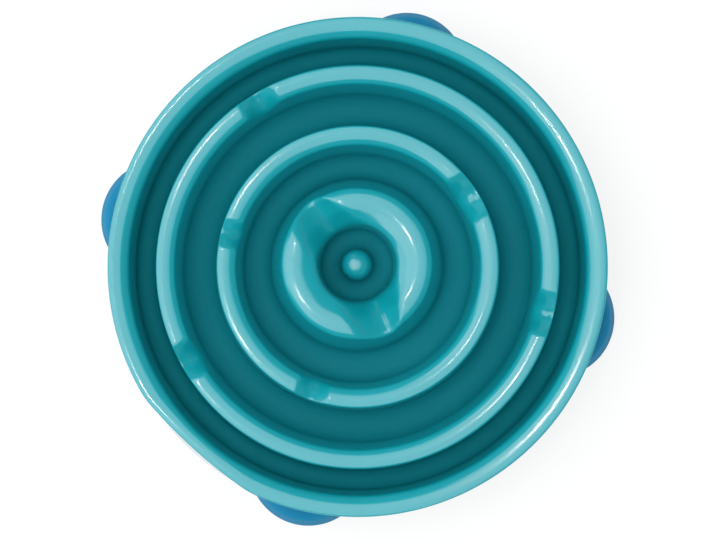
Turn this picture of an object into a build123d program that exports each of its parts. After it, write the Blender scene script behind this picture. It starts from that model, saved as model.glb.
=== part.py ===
from build123d import *
import os
from math import cos, hypot, radians, tan

# A round slow feeder bowl: one hollow moulding that stands on four rubber feet.
# Millimetres and degrees. The origin is on the table under the centre, +Z is up,
# and angles run anticlockwise from +X seen from above.

# Skirt, floor and walls of the moulding
wall = 2.4              # thickness everywhere
rim_radius = 133.0      # outer edge of the rim, which sets the size of the bowl
rim_height = 57.0       # top of the rim above the table
rim_width = 7.8         # ring on top of the rim
rim_round = 2.4         # rounding of both rim edges
skirt_flare = 3.5       # the skirt leans out towards the table
skirt_lift = 3.0        # lower edge of the skirt above the table
floor_height = 13.0     # floor of the channels above the table
floor_round = 4.5       # rounding where walls meet the floor
wall_draft = 4.5        # lean of the channel walls
least_round = 1.5       # smaller roundings are left sharp on the underside
run_share = 0.48        # the most of a straight run that one rounding takes

# Shelf, well and post at the centre
well_radius = 24.2      # lip of the well
well_lip_round = 4.0
well_draft = 7.0        # lean of the well wall
shelf_width = 7.1       # from the lip up to the innermost crest
shelf_fall = 2.8        # how far the lip lies below that crest
post_radius = 7.6
post_height = 34.0
post_round = 7.2        # its top is nearly a half ball
post_draft = 4.0

# Three ring ridges, hollow underneath
ridge_height = 51.0     # crests above the table
ridge_round = 2.2       # rounding of the crest edges
inner_ridge_width = 10.0
inner_ridge_round = 4.5  # the innermost crest rolls over more softly
inner_ridge_lean = 8.0  # and its outer wall leans more
middle_ridge_width = 7.1
outer_ridge_width = 8.8

# The channels share the room that the crests and the shelf leave, in these proportions
inner_channel_part = 26.35
middle_channel_part = 24.35
outer_channel_part = 17.3
crest_room = inner_ridge_width + middle_ridge_width + outer_ridge_width + rim_width
channel_room = rim_radius - well_radius - shelf_width - crest_room
channel_unit = channel_room / (inner_channel_part + middle_channel_part + outer_channel_part)

# Middles of the crests, counted outwards from the well
inner_ridge_radius = well_radius + shelf_width + inner_ridge_width / 2
middle_ridge_radius = inner_ridge_radius + (inner_ridge_width + middle_ridge_width) / 2
middle_ridge_radius += inner_channel_part * channel_unit
outer_ridge_radius = middle_ridge_radius + (middle_ridge_width + outer_ridge_width) / 2
outer_ridge_radius += middle_channel_part * channel_unit

# Saddles: places where a ridge dips so that a tongue can reach over it
saddle_round = 1.5      # rounding of the saddle edges
saddle_share = 0.75     # the most of the crest rounding that it takes
outer_saddle_width = 24.5
outer_saddle_depth = 10.0
outer_saddle_angles = (121.0, 209.0, 346.0)
middle_saddle_width = 28.0
middle_saddle_depth = 10.0
middle_saddle_angles = (32.0, 165.5, 250.0)
inner_saddle_width = 27.0
inner_saddle_depth = 11.0
inner_saddle_tilt = 20.0  # these two fall towards the centre
inner_saddle_angles = (127.0, 297.0)

# Grip: a shallow flat in the rim for the fingers
grip_angle = 228.0
grip_depth = 2.8
grip_radius = 282.0     # the flat is an arc of this radius
grip_lean = 7.0         # it leans out more than the skirt, so it fades out downwards
grip_round = 1.0        # rounding of its upper edge

# Rubber feet
foot_names = ("back", "left", "front", "right")
first_foot_angle = 76.0
foot_radius = 33.0      # each foot is part of a disc
foot_projection = 9.5   # how far it stands out past the skirt
foot_height = 14.0
foot_slope = 18.0       # lean of its side
foot_round = 4.0        # rounding of its upper edge
sole_chamfer = 1.0      # bevel round the sole
foot_flange = 6.0       # how far it reaches inside the skirt
foot_play = 0.15        # clearance between rubber and moulding

# Windows in the skirt, which the tongues of the feet snap through
window_width = 24.0
window_height = 5.0
window_base = 7.0       # lower edge of a window above the table
window_margin = 4.0     # how far a cut runs past the skirt on both sides


def fitted_round(asked, run):
    """A rounding limited so that a straight run has room for one at each end."""
    return min(asked, run_share * run)


def crest(radius, width, height, rounding):
    """The two corners of a crest."""
    edge_round = fitted_round(rounding, width)
    return [(radius - width / 2, height, edge_round), (radius + width / 2, height, edge_round)]


def channel(inside, outside):
    """The two corners of a channel floor."""
    edge_round = fitted_round(floor_round, outside - inside)
    return [(inside, floor_height, edge_round), (outside, floor_height, edge_round)]


def wall_foot(top_radius, top_height, lean):
    """Radius where a wall meets the floor, if it leans outwards on its way down."""
    return top_radius + (top_height - floor_height) * tan(radians(lean))


def top_corners():
    """Corners (radius, height, rounding) of the upper surface, from the axis to the table."""
    post_foot = wall_foot(post_radius, post_height, post_draft)
    lip_height = ridge_height - shelf_fall
    well_foot = wall_foot(well_radius, lip_height, -well_draft)
    corners = [(0, post_height, 0)]
    corners.append((post_radius, post_height, min(post_round, post_radius)))
    corners += channel(post_foot, well_foot)
    corners.append((well_radius, lip_height, fitted_round(well_lip_round, shelf_width)))
    crests = (
        (inner_ridge_radius, inner_ridge_width, ridge_height, inner_ridge_round, inner_ridge_lean),
        (middle_ridge_radius, middle_ridge_width, ridge_height, ridge_round, wall_draft),
        (outer_ridge_radius, outer_ridge_width, ridge_height, ridge_round, wall_draft),
        (rim_radius - rim_width / 2, rim_width, rim_height, rim_round, skirt_flare),
    )
    for here, beyond in zip(crests, crests[1:]):
        radius, width, height, rounding, lean = here
        corners += crest(radius, width, height, rounding)
        next_radius, next_width, next_height = beyond[:3]
        inside = wall_foot(radius + width / 2, height, lean)
        outside = wall_foot(next_radius - next_width / 2, next_height, -wall_draft)
        corners += channel(inside, outside)
    corners += crest(*crests[-1][:4])
    corners.append((skirt_radius(skirt_lift), skirt_lift, 0))
    return corners


def skirt_radius(height):
    """Outer radius of the skirt at a height."""
    return rim_radius + (rim_height - height) * tan(radians(skirt_flare))


def underside(corners):
    """The same corners moved one wall thickness to the underside."""
    runs = []
    for start, end in zip(corners, corners[1:]):
        length = hypot(end[0] - start[0], end[1] - start[1])
        along = ((end[0] - start[0]) / length, (end[1] - start[1]) / length)
        runs.append((start[0] + wall * along[1], start[1] - wall * along[0], *along))
    moved = [(0, corners[0][1] - wall, 0)]
    for before, after, corner in zip(runs, runs[1:], corners[1:]):
        turn = before[2] * after[3] - before[3] * after[2]
        reach = (after[0] - before[0]) * after[3] - (after[1] - before[1]) * after[2]
        place = (before[0] + before[2] * reach / turn, before[1] + before[3] * reach / turn)
        inner_round = corner[2] - wall
        sharp = turn > 0 or inner_round < least_round
        moved.append((*place, 0 if sharp else inner_round))
    last = runs[-1]
    end_height = corners[-1][1] - wall
    moved.append((last[0] + last[2] * (end_height - last[1]) / last[3], end_height, 0))
    return moved


def turned(corners):
    """Solid of revolution under a rounded outline."""
    points = [(radius, height) for radius, height, rounding in corners]
    rounds = [rounding for radius, height, rounding in corners[1:-1]]
    base = points[-1][1]
    outline = FilletPolyline(*points, radius=rounds)
    closing = Polyline(points[-1], (0, base), points[0])
    return revolve(Plane.XZ * make_face([*outline.edges(), *closing.edges()]), Axis.Z)


def grip_limit(thickness):
    """Cone that bounds the rim and skirt at the grip, made smaller by a thickness."""
    lean = radians(grip_lean)
    radius = grip_radius - thickness / cos(lean)
    rise = rim_height * tan(lean)
    cone = Location((0, 0, rim_height), (0, 0, 180)) * Cone(radius + rise, radius - rise, 2 * rim_height)
    return Rot(0, 0, grip_angle) * Pos(rim_radius - grip_depth - grip_radius, 0, 0) * cone


def saddle_bars(thickness):
    """Round bars across the ridges, one for each saddle, made larger by a thickness."""
    rows = (
        (outer_ridge_radius, outer_ridge_width, outer_ridge_width / 2 + outer_saddle_depth,
         outer_saddle_width, outer_saddle_depth, 0, outer_saddle_angles),
        (middle_ridge_radius, middle_ridge_width, middle_ridge_width / 2 + middle_saddle_depth,
         middle_saddle_width, middle_saddle_depth, 0, middle_saddle_angles),
        (inner_ridge_radius, inner_ridge_width, inner_ridge_radius - post_radius,
         inner_saddle_width, inner_saddle_depth, inner_saddle_tilt, inner_saddle_angles),
    )
    bars = []
    for ridge_radius, ridge_width, inward, width, depth, tilt, angles in rows:
        outward = ridge_width / 2 + depth
        bar_radius = ((width / 2) ** 2 + depth ** 2) / (2 * depth)
        bar_height = ridge_height - depth + bar_radius / cos(radians(tilt))
        bar = Pos(0, 0, (outward - inward) / 2) * Cylinder(bar_radius + thickness, outward + inward)
        bar = Rot(0, 90 - tilt, 180) * bar
        for angle in angles:
            bars.append(Rot(0, 0, angle) * Pos(ridge_radius, 0, bar_height) * bar)
    return bars


def foot_angles():
    """Places of the feet round the bowl, evenly spaced."""
    return [first_foot_angle + 360 / len(foot_names) * place for place in range(len(foot_names))]


def window_box(play):
    """Window in the skirt on the +X side, made smaller all round by the play."""
    outside = skirt_radius(window_base) + window_margin
    inside = skirt_radius(window_base + window_height) - wall - window_margin
    middle = window_base + window_height / 2
    size = (outside - inside, window_width - 2 * play, window_height - 2 * play)
    return Pos((inside + outside) / 2, 0, middle) * Box(*size)


def make_bowl():
    """The moulding: a turned blank with its grip and saddles, hollowed out from below."""
    corners = top_corners()
    blank = turned(corners)
    limit = grip_limit(0)
    gripped = blank & limit
    grip_edges = new_edges(blank, limit, combined=gripped)
    gripped = fillet(grip_edges.sort_by(Axis.Z)[-1], grip_round)
    bars = saddle_bars(0)
    saddled = gripped - bars
    edge_round = min(saddle_round, saddle_share * ridge_round)
    saddled = fillet(new_edges(gripped, *bars, combined=saddled), edge_round)
    hollow = turned(underside(corners)) & grip_limit(wall)
    hollow -= saddle_bars(wall)
    windows = [Rot(0, 0, angle) * window_box(0) for angle in foot_angles()]
    return saddled - hollow - windows


def make_foot():
    """One foot on the +X side: outer lobe, sole under the skirt, tongue and inner flange."""
    tip = skirt_radius(skirt_lift) + foot_projection
    upper = foot_radius - (foot_height - sole_chamfer) * tan(radians(foot_slope))
    outline = FilletPolyline(
        (0, foot_height),
        (upper, foot_height),
        (foot_radius, sole_chamfer),
        (foot_radius - sole_chamfer, 0),
        radius=[foot_round, 0],
    )
    closing = Polyline((foot_radius - sole_chamfer, 0), (0, 0), (0, foot_height))
    lobe = revolve(Plane.XZ * make_face([*outline.edges(), *closing.edges()]), Axis.Z)
    lobe = Pos(tip - foot_radius, 0, 0) * lobe
    inside = skirt_radius(skirt_lift) - wall - foot_flange
    lobe -= Pos(0, 0, foot_height / 2) * Cylinder(inside, 2 * foot_height)
    top = 2 * foot_height
    hidden_wall = wall / cos(radians(skirt_flare))
    band = Polyline(
        (skirt_radius(skirt_lift) + foot_play, skirt_lift),
        (skirt_radius(top) + foot_play, top),
        (skirt_radius(top) - hidden_wall - foot_play, top),
        (skirt_radius(skirt_lift) - hidden_wall - foot_play, skirt_lift),
        close=True,
    )
    slot = revolve(Plane.XZ * make_face(band.edges()), Axis.Z)
    return lobe - (slot - window_box(foot_play))


def main():
    os.makedirs("parts", exist_ok=True)
    export_step(make_bowl(), "parts/bowl_moulding.step")
    foot = make_foot()
    for name, angle in zip(foot_names, foot_angles()):
        export_step(Rot(0, 0, angle) * foot, f"parts/{name}_rubber_foot.step")


main()
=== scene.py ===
from math import atan2, cos, hypot, pi, radians, sin, tan

import bpy
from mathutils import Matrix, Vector


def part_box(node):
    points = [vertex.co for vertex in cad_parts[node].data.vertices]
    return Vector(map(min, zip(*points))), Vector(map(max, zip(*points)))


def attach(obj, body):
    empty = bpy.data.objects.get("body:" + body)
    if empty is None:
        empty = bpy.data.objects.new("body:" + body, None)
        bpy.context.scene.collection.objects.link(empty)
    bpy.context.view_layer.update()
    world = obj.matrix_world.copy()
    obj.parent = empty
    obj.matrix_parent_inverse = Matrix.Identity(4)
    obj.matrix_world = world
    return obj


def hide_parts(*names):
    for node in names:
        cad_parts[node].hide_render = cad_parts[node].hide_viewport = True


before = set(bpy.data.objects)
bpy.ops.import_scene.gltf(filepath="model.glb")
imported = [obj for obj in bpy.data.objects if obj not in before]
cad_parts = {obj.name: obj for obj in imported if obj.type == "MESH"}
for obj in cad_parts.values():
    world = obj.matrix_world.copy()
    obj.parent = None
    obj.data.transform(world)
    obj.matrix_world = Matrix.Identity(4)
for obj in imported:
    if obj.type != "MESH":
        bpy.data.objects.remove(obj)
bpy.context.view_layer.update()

mm = 0.001
scene = bpy.context.scene
print("frame loaded:", ", ".join(sorted(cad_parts)))


# sRGB hex to the linear colour that shaders and lamps take
def linearColour(hexText):
    shares = [int(hexText[place:place + 2], 16) / 255 for place in (1, 3, 5)]
    return [s / 12.92 if s <= 0.04045 else ((s + 0.055) / 1.055) ** 2.4 for s in shares] + [1.0]


# adds a node; links maps a socket to a value, a socket or another node's first output; in a Mix node
# sockets 2 and 3 are its numbers and 6 and 7 its colours
def addNode(tree, kind, links=(), **settings):
    node = tree.nodes.new(kind)
    for name, value in settings.items():
        setattr(node, name, value)
    for socket, value in dict(links).items():
        if isinstance(value, bpy.types.Node):
            value = value.outputs[0]
        if isinstance(value, bpy.types.NodeSocket):
            tree.links.new(value, node.inputs[socket])
        else:
            node.inputs[socket].default_value = value
    return node


# an empty geometry tree with float inputs and outputs of these names
def newTree(name, floatInputs, floatOutputs):
    tree = bpy.data.node_groups.new(name, "GeometryNodeTree")
    for inputName in floatInputs:
        tree.interface.new_socket(inputName, in_out="INPUT", socket_type="NodeSocketFloat")
    for outputName in floatOutputs:
        tree.interface.new_socket(outputName, in_out="OUTPUT", socket_type="NodeSocketFloat")
    return tree, addNode(tree, "NodeGroupInput"), addNode(tree, "NodeGroupOutput")


# outline of the moulding, millimetres and degrees; radii run outwards from the centre post
low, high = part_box("bowl_moulding")
bowl = {
    "wall": 2.4,
    "skirtRadius": high.x / mm,      # at the lower edge of the skirt
    "skirtLift": low.z / mm,
    "skirtFlare": 3.5,
    "hemRound": 0.7,
    "floorHeight": 13.0,
    "floorShare": 0.52,              # the floors are hollow: rounding as a share of the floor width
    "postRadius": 7.6,
    "postHeight": 34.0,
    "postRound": 7.2,
    "postDraft": 4.0,
    "innerShift": (-0.5, 1.7),       # post and inner ridge sit this far off the centre
    "shiftFrom": 47.0,               # the shift fades out in the floor between these radii
    "shiftTo": 60.0,
    "columns": 512,                  # steps round the axis
    "arcStep": 14,                   # degrees for one step of a rounding on top, and the fewest steps
    "arcLeast": 5,
    "underStep": 45,                 # the same for the underside
    "underLeast": 1,
    "crease": 40,                    # edges that bend by more than this stay crisp
    "weld": 1e-6,                    # metres between points that become one
}

# the three ridges: edges and top of the soft crest, its pitch and roundings, lean of both walls;
# then the dips: depth, inward tilt and crown, half widths at both ends (the first grows inwards by the
# slant), how softly both ends rise, and for each dip its angle, the way it runs and its share of full size
ridges = [
    {"name": "inner", "inside": 21.4, "radius": 32.4, "outside": 40.2, "height": 51.0,
     "innerPitch": 20.0, "outerPitch": 12.0, "apexRound": 17.0, "innerRound": 4.5, "outerRound": 4.0,
     "innerLean": 3.0, "lean": 12.5, "depth": 10.5, "tilt": 0.52, "dipCrown": 0.4,
     "start": 12.6, "slant": 0.64, "end": 20.0, "startSoft": 2.0, "endSoft": 2.4,
     "dips": [(127.0, 1, 1.0), (295.0, -1, 1.0)]},
    {"name": "middle", "inside": 65.4, "radius": 71.6, "outside": 75.4, "height": 51.0,
     "innerPitch": 13.0, "outerPitch": 5.0, "apexRound": 12.0, "innerRound": 4.4, "outerRound": 1.1,
     "innerLean": 5.5, "lean": 4.5, "depth": 9.5, "tilt": 0.42, "dipCrown": 0.4,
     "start": 14.5, "slant": 0.0, "end": 14.5, "startSoft": 1.9, "endSoft": 1.9,
     "dips": [(32.0, 1, 1.0), (165.5, 1, 0.58), (250.0, 1, 0.66)]},
    {"name": "outer", "inside": 98.0, "radius": 104.2, "outside": 107.9, "height": 51.0,
     "innerPitch": 12.0, "outerPitch": 5.0, "apexRound": 13.0, "innerRound": 4.0, "outerRound": 1.2,
     "innerLean": 5.5, "lean": 4.5, "depth": 10.0, "tilt": 0.4, "dipCrown": 0.4,
     "start": 12.9, "slant": 0.0, "end": 12.9, "startSoft": 1.9, "endSoft": 1.9,
     "dips": [(121.0, 1, 0.87), (209.0, 1, 0.87), (346.0, 1, 1.0)]},
]

# what a dip takes along: its least half width, how far past the crest it reaches on both sides, and how
# far above the floor and below the top the walls begin to follow and follow in full
saddle = {"least": 2.0, "innerReach": 6.0, "outerReach": 13.0, "floorClear": 4.0, "topClear": 6.0}

# the rim has the same kind of crest, with its top near the outside
rimRadius = bowl["skirtRadius"] - (high.z - low.z) / mm * tan(radians(bowl["skirtFlare"]))
rim = {"inside": 122.0, "radius": rimRadius - 2.6, "outside": rimRadius, "height": high.z / mm,
       "innerPitch": 8.0, "outerPitch": 5.0, "apexRound": 9.0, "innerRound": 6.0, "outerRound": 0.9,
       "innerLean": 1.2, "lean": bowl["skirtFlare"]}

# the flat in the rim for the fingers; it fades out over the blend at the rim's inside
grip = {"angle": 228.0, "depth": 2.8, "radius": 282.0, "lean": 7.0, "soften": 0.8, "blend": 5.4}


# corners (radius, height, rounding) of the upper surface, from the axis to the hem of the skirt
def upperCorners():
    floor = bowl["floorHeight"]
    corners = [(0, bowl["postHeight"], 0), (bowl["postRadius"], bowl["postHeight"], bowl["postRound"])]
    inside = bowl["postRadius"] + (bowl["postHeight"] - floor) * tan(radians(bowl["postDraft"]))
    for crest in ridges + [rim]:
        rise, fall = radians(crest["innerPitch"]), radians(crest["outerPitch"])
        apex = crest["height"] + crest["apexRound"] * (tan((rise + fall) / 2) * sin(rise) - 1 + cos(rise))
        innerEdge = apex - (crest["radius"] - crest["inside"]) * tan(rise)
        outerEdge = apex - (crest["outside"] - crest["radius"]) * tan(fall)
        outside = crest["inside"] - (innerEdge - floor) * tan(radians(crest["innerLean"]))
        floorRound = bowl["floorShare"] * (outside - inside)
        corners += [(inside, floor, floorRound), (outside, floor, floorRound)]
        corners.append((crest["inside"], innerEdge, crest["innerRound"]))
        corners.append((crest["radius"], apex, crest["apexRound"]))
        corners.append((crest["outside"], outerEdge, crest["outerRound"]))
        inside = crest["outside"] + (outerEdge - floor) * tan(radians(crest["lean"]))
    corners.append((bowl["skirtRadius"], bowl["skirtLift"], bowl["hemRound"]))
    return corners


# the same corners one wall lower, as far as the hem
def lowerCorners(corners, wall):
    runs = []
    for start, end in zip(corners, corners[1:]):
        length = hypot(end[0] - start[0], end[1] - start[1])
        along = ((end[0] - start[0]) / length, (end[1] - start[1]) / length)
        runs.append((start[0] + wall * along[1], start[1] - wall * along[0], *along))
    moved = [(0, corners[0][1] - wall, 0)]
    for before, after, corner in zip(runs, runs[1:], corners[1:]):
        turn = before[2] * after[3] - before[3] * after[2]
        reach = ((after[0] - before[0]) * after[3] - (after[1] - before[1]) * after[2]) / turn
        rounding = max(0, corner[2] - wall) if turn < 0 else 0
        moved.append((before[0] + before[2] * reach, before[1] + before[3] * reach, rounding))
    last = runs[-1]
    hem = corners[-1][1]
    moved.append((last[0] + last[2] * (hem - last[1]) / last[3], hem, bowl["hemRound"]))
    return moved


# points along the rounded corners between the first and the last one
def roundedPoints(corners, arcStep, leastSteps):
    points = []
    for before, here, after in zip(corners, corners[1:], corners[2:]):
        place = Vector(here[:2])
        into = (place - Vector(before[:2])).normalized()
        out = (Vector(after[:2]) - place).normalized()
        turn = atan2(into.x * out.y - into.y * out.x, into.dot(out))
        if here[2] == 0:
            points.append(place)
            continue
        start = place - into * here[2] * tan(abs(turn) / 2)
        centre = start + Vector((-into.y, into.x)) * here[2] * (1 if turn > 0 else -1)
        arm = start - centre
        steps = max(leastSteps, round(abs(turn) / radians(arcStep)))
        for step in range(steps + 1):
            c, s = cos(turn * step / steps), sin(turn * step / steps)
            points.append(centre + Vector((arm.x * c - arm.y * s, arm.x * s + arm.y * c)))
    return points


# the whole outline as a thin wire in the XZ plane, which the tree turns into the bowl
def outlineWire():
    upper = upperCorners()
    under = lowerCorners(upper, bowl["wall"])
    points = [Vector(upper[0][:2])]
    points += roundedPoints(upper + under[-1:], bowl["arcStep"], bowl["arcLeast"])
    points += roundedPoints(upper[-1:] + under[::-1], bowl["underStep"], bowl["underLeast"])
    points.append(Vector(under[0][:2]))
    mesh = bpy.data.meshes.new("bowlOutline")
    mesh.from_pydata([(p.x, 0, p.y) for p in points], [(i, i + 1) for i in range(len(points) - 1)], [])
    print("outline:", len(points), "rows")
    return mesh


# one dip of a ridge: how far it lowers the crest at an angle and radius
def saddleTree():
    names = ["Angle", "Radius", "Place", "Way", "Ridge Radius", "Depth", "Start", "Slant", "End",
             "Start Soft", "End Soft", "Size"]
    tree, given, result = newTree("saddleDrop", names, ["Drop"])
    g = given.outputs
    turn = addNode(tree, "ShaderNodeMath", {0: g["Angle"], 1: g["Place"]}, operation="SUBTRACT")
    sine = addNode(tree, "ShaderNodeMath", {0: turn}, operation="SINE")
    across = addNode(tree, "ShaderNodeMath", {0: sine, 1: g["Radius"]}, operation="MULTIPLY")
    across = addNode(tree, "ShaderNodeMath", {0: across, 1: g["Way"]}, operation="MULTIPLY")
    cosine = addNode(tree, "ShaderNodeMath", {0: turn}, operation="COSINE")
    facing = addNode(tree, "ShaderNodeMath", {0: cosine, 1: 0.0}, operation="GREATER_THAN")
    ahead = addNode(tree, "ShaderNodeMath", {0: across, 1: 0.0}, operation="GREATER_THAN")
    inward = addNode(tree, "ShaderNodeMath", {0: g["Ridge Radius"], 1: g["Radius"]}, operation="SUBTRACT")
    start = addNode(tree, "ShaderNodeMath", {0: inward, 1: g["Slant"], 2: g["Start"]},
                    operation="MULTIPLY_ADD")
    start = addNode(tree, "ShaderNodeMath", {0: start, 1: saddle["least"]}, operation="MAXIMUM")
    half = addNode(tree, "ShaderNodeMix", {0: ahead, 2: start, 3: g["End"]})
    soft = addNode(tree, "ShaderNodeMix", {0: ahead, 2: g["Start Soft"], 3: g["End Soft"]})
    half = addNode(tree, "ShaderNodeMath", {0: half, 1: g["Size"]}, operation="MULTIPLY")
    share = addNode(tree, "ShaderNodeMath", {0: across, 1: half}, operation="DIVIDE")
    square = addNode(tree, "ShaderNodeMath", {0: share, 1: share}, operation="MULTIPLY")
    hollow = addNode(tree, "ShaderNodeMath", {0: 1.0, 1: square}, operation="SUBTRACT")
    hollow = addNode(tree, "ShaderNodeMath", {0: hollow, 1: 0.0}, operation="MAXIMUM")
    hollow = addNode(tree, "ShaderNodeMath", {0: hollow, 1: soft}, operation="POWER")
    drop = addNode(tree, "ShaderNodeMath", {0: hollow, 1: g["Depth"]}, operation="MULTIPLY")
    drop = addNode(tree, "ShaderNodeMath", {0: drop, 1: g["Size"]}, operation="MULTIPLY")
    drop = addNode(tree, "ShaderNodeMath", {0: drop, 1: facing}, operation="MULTIPLY")
    tree.links.new(drop.outputs[0], result.inputs["Drop"])
    return tree


# lowers one ridge: its crest slides down along its own walls and tilts inwards
def ridgeTree():
    names = ["Radius", "Height", "Drop", "Ridge Radius", "Half Width", "Inner Reach", "Outer Reach",
             "Low", "High", "Inner Lean", "Outer Lean", "Tilt", "Crown"]
    tree, given, result = newTree("lowerRidge", names, ["Radius", "Height"])
    g = given.outputs
    offset = addNode(tree, "ShaderNodeMath", {0: g["Radius"], 1: g["Ridge Radius"]}, operation="SUBTRACT")
    outer = addNode(tree, "ShaderNodeMath", {0: offset, 1: 0.0}, operation="GREATER_THAN")
    lean = addNode(tree, "ShaderNodeMix", {0: outer, 2: g["Inner Lean"], 3: g["Outer Lean"]})
    reach = addNode(tree, "ShaderNodeMix", {0: outer, 2: g["Inner Reach"], 3: g["Outer Reach"]})
    distance = addNode(tree, "ShaderNodeMath", {0: offset}, operation="ABSOLUTE")
    near = addNode(tree, "ShaderNodeMath", {0: distance, 1: reach}, operation="LESS_THAN")
    follow = addNode(tree, "ShaderNodeMapRange", {"Value": g["Height"], "From Min": g["Low"],
                                                  "From Max": g["High"]})
    follow = addNode(tree, "ShaderNodeMath", {0: follow, 1: near}, operation="MULTIPLY")
    cross = addNode(tree, "ShaderNodeMath", {0: offset, 1: g["Half Width"]}, operation="DIVIDE")
    cross = addNode(tree, "ShaderNodeClamp", {"Value": cross, "Min": -1.0, "Max": 1.0})
    square = addNode(tree, "ShaderNodeMath", {0: cross, 1: cross}, operation="MULTIPLY")
    crown = addNode(tree, "ShaderNodeMath", {0: square, 1: g["Crown"], 2: 1.0}, operation="MULTIPLY_ADD")
    tilt = addNode(tree, "ShaderNodeMath", {0: cross, 1: g["Tilt"]}, operation="MULTIPLY")
    scale = addNode(tree, "ShaderNodeMath", {0: crown, 1: tilt}, operation="SUBTRACT")
    drop = addNode(tree, "ShaderNodeMath", {0: g["Drop"], 1: follow}, operation="MULTIPLY")
    drop = addNode(tree, "ShaderNodeMath", {0: drop, 1: scale}, operation="MULTIPLY")
    height = addNode(tree, "ShaderNodeMath", {0: g["Height"], 1: drop}, operation="SUBTRACT")
    radius = addNode(tree, "ShaderNodeMath", {0: drop, 1: lean, 2: g["Radius"]}, operation="MULTIPLY_ADD")
    tree.links.new(radius.outputs[0], result.inputs["Radius"])
    tree.links.new(height.outputs[0], result.inputs["Height"])
    return tree


# the finger flat: the radius after it has pushed the rim and skirt inwards
def gripTree():
    names = ["Angle", "Radius", "Height", "Rim Radius", "Rim Inside", "Rim Height", "Grip Angle", "Depth",
             "Grip Radius", "Fade", "Soften", "Blend"]
    tree, given, result = newTree("fingerGrip", names, ["Radius"])
    g = given.outputs
    turn = addNode(tree, "ShaderNodeMath", {0: g["Angle"], 1: g["Grip Angle"]}, operation="SUBTRACT")
    sine = addNode(tree, "ShaderNodeMath", {0: turn}, operation="SINE")
    cosine = addNode(tree, "ShaderNodeMath", {0: turn}, operation="COSINE")
    centre = addNode(tree, "ShaderNodeMath", {0: g["Rim Radius"], 1: g["Depth"]}, operation="SUBTRACT")
    centre = addNode(tree, "ShaderNodeMath", {0: centre, 1: g["Grip Radius"]}, operation="SUBTRACT")
    side = addNode(tree, "ShaderNodeMath", {0: centre, 1: sine}, operation="MULTIPLY")
    side = addNode(tree, "ShaderNodeMath", {0: side, 1: side}, operation="MULTIPLY")
    square = addNode(tree, "ShaderNodeMath", {0: g["Grip Radius"], 1: g["Grip Radius"]},
                     operation="MULTIPLY")
    chord = addNode(tree, "ShaderNodeMath", {0: square, 1: side}, operation="SUBTRACT")
    chord = addNode(tree, "ShaderNodeMath", {0: chord}, operation="SQRT")
    limit = addNode(tree, "ShaderNodeMath", {0: centre, 1: cosine, 2: chord}, operation="MULTIPLY_ADD")
    below = addNode(tree, "ShaderNodeMath", {0: g["Rim Height"], 1: g["Height"]}, operation="SUBTRACT")
    fade = addNode(tree, "ShaderNodeMath", {0: below, 1: g["Fade"], 2: limit}, operation="MULTIPLY_ADD")
    push = addNode(tree, "ShaderNodeMath", {0: g["Rim Radius"], 1: fade}, operation="SUBTRACT")
    push = addNode(tree, "ShaderNodeMath", {0: push, 1: 0.0, 2: g["Soften"]}, operation="SMOOTH_MAX")
    edge = addNode(tree, "ShaderNodeMath", {0: g["Rim Inside"], 1: g["Blend"]}, operation="ADD")
    weight = addNode(tree, "ShaderNodeMapRange", {"Value": g["Radius"], "From Min": g["Rim Inside"],
                                                  "From Max": edge})
    push = addNode(tree, "ShaderNodeMath", {0: push, 1: weight}, operation="MULTIPLY")
    radius = addNode(tree, "ShaderNodeMath", {0: g["Radius"], 1: push}, operation="SUBTRACT")
    tree.links.new(radius.outputs[0], result.inputs["Radius"])
    return tree


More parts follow.
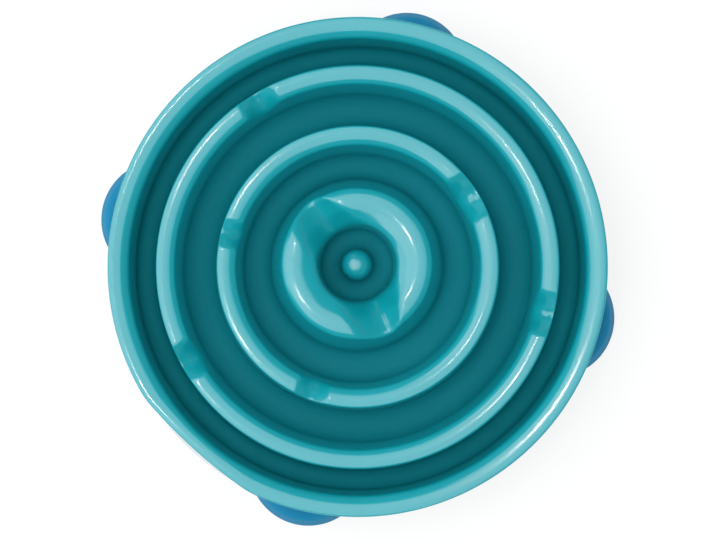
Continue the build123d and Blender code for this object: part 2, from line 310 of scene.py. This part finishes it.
# turns the outline round the axis, lowers the ridges at their dips and presses in the grip
def bowlTree():
    tree = bpy.data.node_groups.new("turnedBowl", "GeometryNodeTree")
    face = tree.interface
    face.new_socket("Outline", in_out="INPUT", socket_type="NodeSocketGeometry")
    face.new_socket("Columns", in_out="INPUT", socket_type="NodeSocketInt")
    for name in ("Inner Depth", "Middle Depth", "Outer Depth", "Grip Depth"):
        face.new_socket(name, in_out="INPUT", socket_type="NodeSocketFloat")
    face.new_socket("Plastic", in_out="INPUT", socket_type="NodeSocketMaterial")
    face.new_socket("Bowl", in_out="OUTPUT", socket_type="NodeSocketGeometry")
    given = addNode(tree, "NodeGroupInput").outputs
    result = addNode(tree, "NodeGroupOutput")
    rows = addNode(tree, "GeometryNodeAttributeDomainSize", {0: given["Outline"]})
    closing = addNode(tree, "ShaderNodeMath", {0: given["Columns"], 1: 1.0}, operation="ADD")
    grid = addNode(tree, "GeometryNodeMeshGrid", {"Vertices X": rows.outputs["Point Count"],
                                                  "Vertices Y": closing})
    index = addNode(tree, "GeometryNodeInputIndex")
    middle = addNode(tree, "ShaderNodeMath", {0: index, 1: 0.5}, operation="ADD")
    row = addNode(tree, "ShaderNodeMath", {0: middle, 1: closing}, operation="DIVIDE")
    row = addNode(tree, "ShaderNodeMath", {0: row}, operation="FLOOR")
    before = addNode(tree, "ShaderNodeMath", {0: row, 1: closing}, operation="MULTIPLY")
    column = addNode(tree, "ShaderNodeMath", {0: index, 1: before}, operation="SUBTRACT")
    share = addNode(tree, "ShaderNodeMath", {0: column, 1: given["Columns"]}, operation="DIVIDE")
    angle = addNode(tree, "ShaderNodeMath", {0: share, 1: 2 * pi}, operation="MULTIPLY")
    place = addNode(tree, "GeometryNodeInputPosition")
    sample = addNode(tree, "GeometryNodeSampleIndex", {"Geometry": given["Outline"], "Value": place,
                                                       "Index": row}, data_type="FLOAT_VECTOR")
    parts = addNode(tree, "ShaderNodeSeparateXYZ", {0: sample})
    firstRadius, height = parts.outputs["X"], parts.outputs["Z"]
    radius = firstRadius

    dipTree, slideTree = saddleTree(), ridgeTree()
    for ridge in ridges:
        drop = 0.0
        for dipAngle, way, size in ridge["dips"]:
            dip = addNode(tree, "GeometryNodeGroup", {
                "Angle": angle, "Radius": firstRadius, "Place": radians(dipAngle), "Way": way,
                "Ridge Radius": ridge["radius"], "Depth": given[ridge["name"].capitalize() + " Depth"],
                "Start": ridge["start"], "Slant": ridge["slant"], "End": ridge["end"],
                "Start Soft": ridge["startSoft"], "End Soft": ridge["endSoft"], "Size": size,
            }, node_tree=dipTree)
            drop = addNode(tree, "ShaderNodeMath", {0: drop, 1: dip}, operation="ADD")
        slide = addNode(tree, "GeometryNodeGroup", {
            "Radius": radius, "Height": height, "Drop": drop, "Ridge Radius": ridge["radius"],
            "Half Width": ridge["radius"] - ridge["inside"],
            "Inner Reach": ridge["radius"] - ridge["inside"] + saddle["innerReach"],
            "Outer Reach": saddle["outerReach"],
            "Low": bowl["floorHeight"] + saddle["floorClear"], "High": ridge["height"] - saddle["topClear"],
            "Inner Lean": -tan(radians(ridge["innerLean"])),
            "Outer Lean": tan(radians(ridge["lean"])), "Tilt": ridge["tilt"],
            "Crown": ridge["dipCrown"] / ridge["depth"],
        }, node_tree=slideTree)
        radius, height = slide.outputs["Radius"], slide.outputs["Height"]

    press = addNode(tree, "GeometryNodeGroup", {
        "Angle": angle, "Radius": radius, "Height": height, "Rim Radius": rimRadius,
        "Rim Inside": rim["inside"], "Rim Height": rim["height"], "Grip Angle": radians(grip["angle"]),
        "Depth": given["Grip Depth"], "Grip Radius": grip["radius"],
        "Fade": tan(radians(grip["lean"])) - tan(radians(bowl["skirtFlare"])),
        "Soften": grip["soften"], "Blend": grip["blend"],
    }, node_tree=gripTree())
    sine = addNode(tree, "ShaderNodeMath", {0: angle}, operation="SINE")
    cosine = addNode(tree, "ShaderNodeMath", {0: angle}, operation="COSINE")
    x = addNode(tree, "ShaderNodeMath", {0: press, 1: cosine}, operation="MULTIPLY")
    y = addNode(tree, "ShaderNodeMath", {0: press, 1: sine}, operation="MULTIPLY")
    point = addNode(tree, "ShaderNodeCombineXYZ", {"X": x, "Y": y, "Z": height})
    near = addNode(tree, "ShaderNodeMapRange",
                   {"Value": firstRadius, "From Min": bowl["shiftTo"], "From Max": bowl["shiftFrom"]},
                   interpolation_type="SMOOTHSTEP")
    shift = addNode(tree, "ShaderNodeVectorMath", {0: (*bowl["innerShift"], 0), "Scale": near},
                    operation="SCALE")
    point = addNode(tree, "ShaderNodeVectorMath", {0: point, 1: shift}, operation="ADD")
    metres = addNode(tree, "ShaderNodeVectorMath", {0: point, "Scale": mm}, operation="SCALE")
    shape = addNode(tree, "GeometryNodeSetPosition", {"Geometry": grid.outputs["Mesh"], "Position": metres})
    shape = addNode(tree, "GeometryNodeMergeByDistance", {"Geometry": shape, "Distance": bowl["weld"]})
    bend = addNode(tree, "GeometryNodeInputMeshEdgeAngle")
    soft = addNode(tree, "FunctionNodeCompare", {0: bend.outputs["Unsigned Angle"],
                                                 1: radians(bowl["crease"])}, operation="LESS_THAN")
    shape = addNode(tree, "GeometryNodeSetShadeSmooth", {"Geometry": shape, "Shade Smooth": True},
                    domain="FACE")
    shape = addNode(tree, "GeometryNodeSetShadeSmooth", {"Geometry": shape, "Shade Smooth": soft},
                    domain="EDGE")
    shape = addNode(tree, "GeometryNodeRealizeInstances", {"Geometry": shape})
    shape = addNode(tree, "GeometryNodeSetMaterial", {"Geometry": shape, "Material": given["Plastic"]})
    tree.links.new(shape.outputs[0], result.inputs["Bowl"])
    return tree


# evaluates a tree on a mesh and keeps the result as a plain mesh at the origin
def grownMesh(name, mesh, tree, values):
    piece = bpy.data.objects.new(name, mesh)
    scene.collection.objects.link(piece)
    modifier = piece.modifiers.new(name, "NODES")
    modifier.node_group = tree
    for item in tree.interface.items_tree:
        if item.in_out == "INPUT" and item.name in values:
            modifier[item.identifier] = values[item.name]
    grown = bpy.data.meshes.new_from_object(piece.evaluated_get(bpy.context.evaluated_depsgraph_get()))
    piece.modifiers.remove(modifier)
    piece.data = grown
    grown.name = name
    return piece


# polypropylene, injection moulded: even teal with a clear gloss and a faint orange peel; the crests are
# finely scuffed where muzzles rub, and the channel floors have the mould's fine texture, so they are matt;
# their darker colour is painted shade for the deep channels, weaker in the outer channel
plastic = {
    "teal": "#0B99A5",
    "deep": "#09909C",
    "flow": 38.0,                    # teal and deep drift into each other over this many millimetres
    "smooth": 0.25,                  # roughness under the gloss where the flow is low, and where it is high
    "dull": 0.4,
    # darker floor colour: painted shade for the depth of the channels
    "floor": "#087F8B",
    "floorFrom": 27.0,               # painted floor shade and the matt texture come in from this height down to the next
    "floorTo": 16.0,
    "floorEdge": 127.0,              # they stay inside this radius, so the skirt has none
    "floorFade": 3.0,
    "floorRough": 0.4,
    "paleFrom": 112.0,               # beyond this radius only this share of the painted floor shade is left
    "paleFade": 8.0,
    "paleShade": 0.6,
    "scuff": 1.3,                    # scuffs of this size above this height
    "wearFrom": 49.0,
    "wearFade": 2.0,
    "scuffRough": 0.2,
    "scuffGloss": -0.25,
    "peel": 3.5,                     # width and depth of the orange peel
    "peelDepth": 0.12,
}


def bowlPlastic():
    material = bpy.data.materials.new("moulded polypropylene")
    material.use_nodes = True
    tree = material.node_tree
    shader = tree.nodes["Principled BSDF"]
    place = addNode(tree, "ShaderNodeTexCoord").outputs["Object"]
    flow = addNode(tree, "ShaderNodeTexNoise", {"Vector": place, "Scale": 1 / (plastic["flow"] * mm),
                                                "Detail": 2.0})
    colour = addNode(tree, "ShaderNodeMix", {0: flow, 6: linearColour(plastic["deep"]),
                                             7: linearColour(plastic["teal"])}, data_type="RGBA")
    height = addNode(tree, "ShaderNodeSeparateXYZ", {0: place}).outputs["Z"]
    floor = addNode(tree, "ShaderNodeMapRange", {"Value": height, "From Min": plastic["floorFrom"] * mm,
                                                 "From Max": plastic["floorTo"] * mm})
    flat = addNode(tree, "ShaderNodeVectorMath", {0: place, 1: (1, 1, 0)}, operation="MULTIPLY")
    radius = addNode(tree, "ShaderNodeVectorMath", {0: flat}, operation="LENGTH").outputs["Value"]
    within = addNode(tree, "ShaderNodeMapRange", {
        "Value": radius, "From Min": plastic["floorEdge"] * mm,
        "From Max": (plastic["floorEdge"] - plastic["floorFade"]) * mm})
    floor = addNode(tree, "ShaderNodeMath", {0: floor, 1: within}, operation="MULTIPLY")
    # painted shade: the floors take the darker floor colour, only part of it in the outer channel
    paintedFloorShade = addNode(tree, "ShaderNodeMapRange", {
        "Value": radius, "From Min": plastic["paleFrom"] * mm,
        "From Max": (plastic["paleFrom"] - plastic["paleFade"]) * mm, "To Min": plastic["paleShade"]})
    paintedFloorShade = addNode(tree, "ShaderNodeMath", {0: floor, 1: paintedFloorShade}, operation="MULTIPLY")
    colour = addNode(tree, "ShaderNodeMix", {0: paintedFloorShade, 6: colour.outputs[2],
                                             7: linearColour(plastic["floor"])}, data_type="RGBA")
    worn = addNode(tree, "ShaderNodeMapRange", {
        "Value": height, "From Min": plastic["wearFrom"] * mm,
        "From Max": (plastic["wearFrom"] + plastic["wearFade"]) * mm})
    scuff = addNode(tree, "ShaderNodeTexNoise", {"Vector": place, "Scale": 1 / (plastic["scuff"] * mm),
                                                 "Detail": 4.0, "Roughness": 0.65})
    scuff = addNode(tree, "ShaderNodeMath", {0: scuff, 1: worn}, operation="MULTIPLY")
    rough = addNode(tree, "ShaderNodeMapRange", {"Value": flow, "To Min": plastic["smooth"],
                                                 "To Max": plastic["dull"]})
    rough = addNode(tree, "ShaderNodeMath", {0: scuff, 1: plastic["scuffRough"], 2: rough},
                    operation="MULTIPLY_ADD")
    rough = addNode(tree, "ShaderNodeMath", {0: floor, 1: plastic["floorRough"], 2: rough},
                    operation="MULTIPLY_ADD")
    gloss = addNode(tree, "ShaderNodeMath", {0: scuff, 1: plastic["scuffGloss"], 2: 1.0},
                    operation="MULTIPLY_ADD")
    gloss = addNode(tree, "ShaderNodeMath", {0: gloss, 1: floor}, operation="SUBTRACT", use_clamp=True)
    peel = addNode(tree, "ShaderNodeTexNoise", {"Vector": place, "Scale": 1 / (plastic["peel"] * mm),
                                                "Detail": 1.0})
    bump = addNode(tree, "ShaderNodeBump", {"Height": peel, "Strength": 0.12,
                                            "Distance": plastic["peelDepth"] * mm})
    tree.links.new(colour.outputs[2], shader.inputs["Base Color"])
    tree.links.new(rough.outputs[0], shader.inputs["Roughness"])
    tree.links.new(gloss.outputs[0], shader.inputs["Coat Weight"])
    tree.links.new(bump.outputs[0], shader.inputs["Normal"])
    tree.links.new(bump.outputs[0], shader.inputs["Coat Normal"])
    shader.inputs["IOR"].default_value = 1.49
    shader.inputs["Specular IOR Level"].default_value = 0.15
    shader.inputs["Coat Roughness"].default_value = 0.14
    shader.inputs["Coat IOR"].default_value = 1.8
    return material


# thermoplastic rubber, moulded: matt blue with a fine grain and a little pale dust in patches
rubber = {
    "blue": "#10749E",
    "pale": "#2484AA",
    "dust": 11.0,                    # size of the patches, and roughness between and in them
    "smooth": 0.5,
    "dull": 0.62,
    "grain": 0.9,                    # width and depth of the grain
    "grainDepth": 0.1,
}


def footRubber():
    material = bpy.data.materials.new("moulded rubber")
    material.use_nodes = True
    tree = material.node_tree
    shader = tree.nodes["Principled BSDF"]
    place = addNode(tree, "ShaderNodeTexCoord").outputs["Object"]
    dust = addNode(tree, "ShaderNodeTexNoise", {"Vector": place, "Scale": 1 / (rubber["dust"] * mm),
                                                "Detail": 5.0})
    colour = addNode(tree, "ShaderNodeMix", {0: dust, 6: linearColour(rubber["blue"]),
                                             7: linearColour(rubber["pale"])}, data_type="RGBA")
    grain = addNode(tree, "ShaderNodeTexNoise", {"Vector": place, "Scale": 1 / (rubber["grain"] * mm),
                                                 "Detail": 3.0})
    rough = addNode(tree, "ShaderNodeMapRange", {"Value": dust, "To Min": rubber["smooth"],
                                                 "To Max": rubber["dull"]})
    bump = addNode(tree, "ShaderNodeBump", {"Height": grain, "Strength": 0.25,
                                            "Distance": rubber["grainDepth"] * mm})
    tree.links.new(colour.outputs[2], shader.inputs["Base Color"])
    tree.links.new(rough.outputs[0], shader.inputs["Roughness"])
    tree.links.new(bump.outputs[0], shader.inputs["Normal"])
    shader.inputs["Specular IOR Level"].default_value = 0.06
    return material


values = {"Columns": bowl["columns"], "Grip Depth": grip["depth"], "Plastic": bowlPlastic()}
values.update({ridge["name"].capitalize() + " Depth": ridge["depth"] for ridge in ridges})
moulding = grownMesh("bowlMoulding", outlineWire(), bowlTree(), values)
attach(moulding, "root")
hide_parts("bowl_moulding")
print("bowl:", len(moulding.data.polygons), "faces")

footMaterial = footRubber()
for name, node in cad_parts.items():
    if name.endswith("rubber_foot"):
        node.data.materials.clear()
        node.data.materials.append(footMaterial)
print("feet dressed")


# white floor just below the soles; glow makes it whiter to the camera and in reflections, with the shadow
# left on it
sweep = {"half": 3.0, "level": -0.0001, "paper": "#F4F6F6", "rough": 0.9, "glow": 0.75}


def studioFloor():
    half, level = sweep["half"], sweep["level"]
    mesh = bpy.data.meshes.new("studioFloor")
    corners = [(-half, -half, level), (half, -half, level), (half, half, level), (-half, half, level)]
    mesh.from_pydata(corners, [], [(0, 1, 2, 3)])
    floor = bpy.data.objects.new("studioFloor", mesh)
    scene.collection.objects.link(floor)
    material = bpy.data.materials.new("white paper sweep")
    material.use_nodes = True
    tree = material.node_tree
    shader = tree.nodes["Principled BSDF"]
    shader.inputs["Base Color"].default_value = linearColour(sweep["paper"])
    shader.inputs["Roughness"].default_value = sweep["rough"]
    path = addNode(tree, "ShaderNodeLightPath").outputs
    seen = addNode(tree, "ShaderNodeMath", {0: path["Is Camera Ray"], 1: path["Is Glossy Ray"]},
                   operation="MAXIMUM")
    seen = addNode(tree, "ShaderNodeMath", {0: seen, 1: path["Is Transmission Ray"]}, operation="MAXIMUM")
    share = addNode(tree, "ShaderNodeMath", {0: seen, 1: sweep["glow"]}, operation="MULTIPLY")
    glow = addNode(tree, "ShaderNodeEmission", {"Color": (1, 1, 1, 1), "Strength": 1.0})
    mix = addNode(tree, "ShaderNodeMixShader", {0: share, 1: shader.outputs[0], 2: glow})
    tree.links.new(mix.outputs[0], tree.nodes["Material Output"].inputs["Surface"])
    mesh.materials.append(material)


# soft boxes aimed at the bowl: azimuth and elevation in degrees, distance and width and depth in metres
lamps = {
    "overheadBox": {"azimuth": 270, "elevation": 86, "distance": 1.75, "size": (0.9, 2.0), "radiance": 1.55},
    "rightBox": {"azimuth": 0, "elevation": 70.6, "distance": 1.8, "size": (1.1, 0.32), "radiance": 1.1},
    "leftBox": {"azimuth": 180, "elevation": 63.1, "distance": 1.8, "size": (2.5, 0.8), "radiance": 2.1},
    "farLeftBox": {"azimuth": 180, "elevation": 31.6, "distance": 1.8, "size": (1.2, 1.17), "radiance": 1.5},
    "upperLeftSpot": {"azimuth": 138, "elevation": 80, "distance": 1.5, "size": (0.035, 0.035),
                      "radiance": 190},
    "lowerLeftSpot": {"azimuth": 205, "elevation": 79, "distance": 1.5, "size": (0.035, 0.035),
                      "radiance": 190},
}


def softBox(name, given):
    lamp = bpy.data.lights.new(name, "AREA")
    lamp.shape = "RECTANGLE"
    lamp.size, lamp.size_y = given["size"]
    lamp.energy = given["radiance"] * pi * given["size"][0] * given["size"][1]
    azimuth, elevation = radians(given["azimuth"]), radians(given["elevation"])
    way = Vector((cos(elevation) * cos(azimuth), cos(elevation) * sin(azimuth), sin(elevation)))
    box = bpy.data.objects.new(name, lamp)
    box.location = way * given["distance"]
    box.rotation_euler = (-way).to_track_quat("-Z", "Y").to_euler()
    scene.collection.objects.link(box)


studioFloor()
for lampName, given in lamps.items():
    softBox(lampName, given)

# the room fills the shadows evenly; in reflections its walls are grey low down and dark from wallTop up
room = {"fill": 0.68, "lowWall": 0.2, "highWall": 0.03, "wallTop": 0.5}
world = bpy.data.worlds.new("studio")
world.use_nodes = True
scene.world = world
worldTree = world.node_tree
path = addNode(worldTree, "ShaderNodeLightPath").outputs
way = addNode(worldTree, "ShaderNodeTexCoord").outputs["Generated"]
up = addNode(worldTree, "ShaderNodeSeparateXYZ", {0: way}).outputs["Z"]
walls = addNode(worldTree, "ShaderNodeMapRange", {"Value": up, "From Max": room["wallTop"],
                                                  "To Min": room["lowWall"], "To Max": room["highWall"]})
fill = addNode(worldTree, "ShaderNodeMix", {0: path["Is Glossy Ray"], 2: room["fill"], 3: walls})
fill = addNode(worldTree, "ShaderNodeMath", {0: fill, 1: path["Is Camera Ray"]}, operation="MAXIMUM")
worldTree.links.new(fill.outputs[0], worldTree.nodes["Background"].inputs["Strength"])
worldTree.nodes["Background"].inputs["Color"].default_value = (1, 1, 1, 1)

# the camera looks down from a little to the near side; width, focal length and centre are in pixels of a
# 716 x 540 picture, height and near in metres, the sensor in millimetres
view = {"width": 716, "focalPixels": 2340, "height": 1.3, "near": 0.027, "centreX": -0.3, "centreY": -3.7,
        "sensor": 36}
camera = bpy.data.objects.new("topCamera", bpy.data.cameras.new("topCamera"))
camera.data.sensor_width = view["sensor"]
camera.data.lens = view["sensor"] * view["focalPixels"] / view["width"]
rimScale = (view["height"] - high.z) / view["focalPixels"]   # metres for one pixel at the rim
camera.location = (-view["centreX"] * rimScale, view["centreY"] * rimScale - view["near"], view["height"])
camera.rotation_euler.x = atan2(view["near"], view["height"] - high.z)
scene.collection.objects.link(camera)
scene.camera = camera
scene.view_settings.view_transform = "Standard"
print("lights and camera placed")
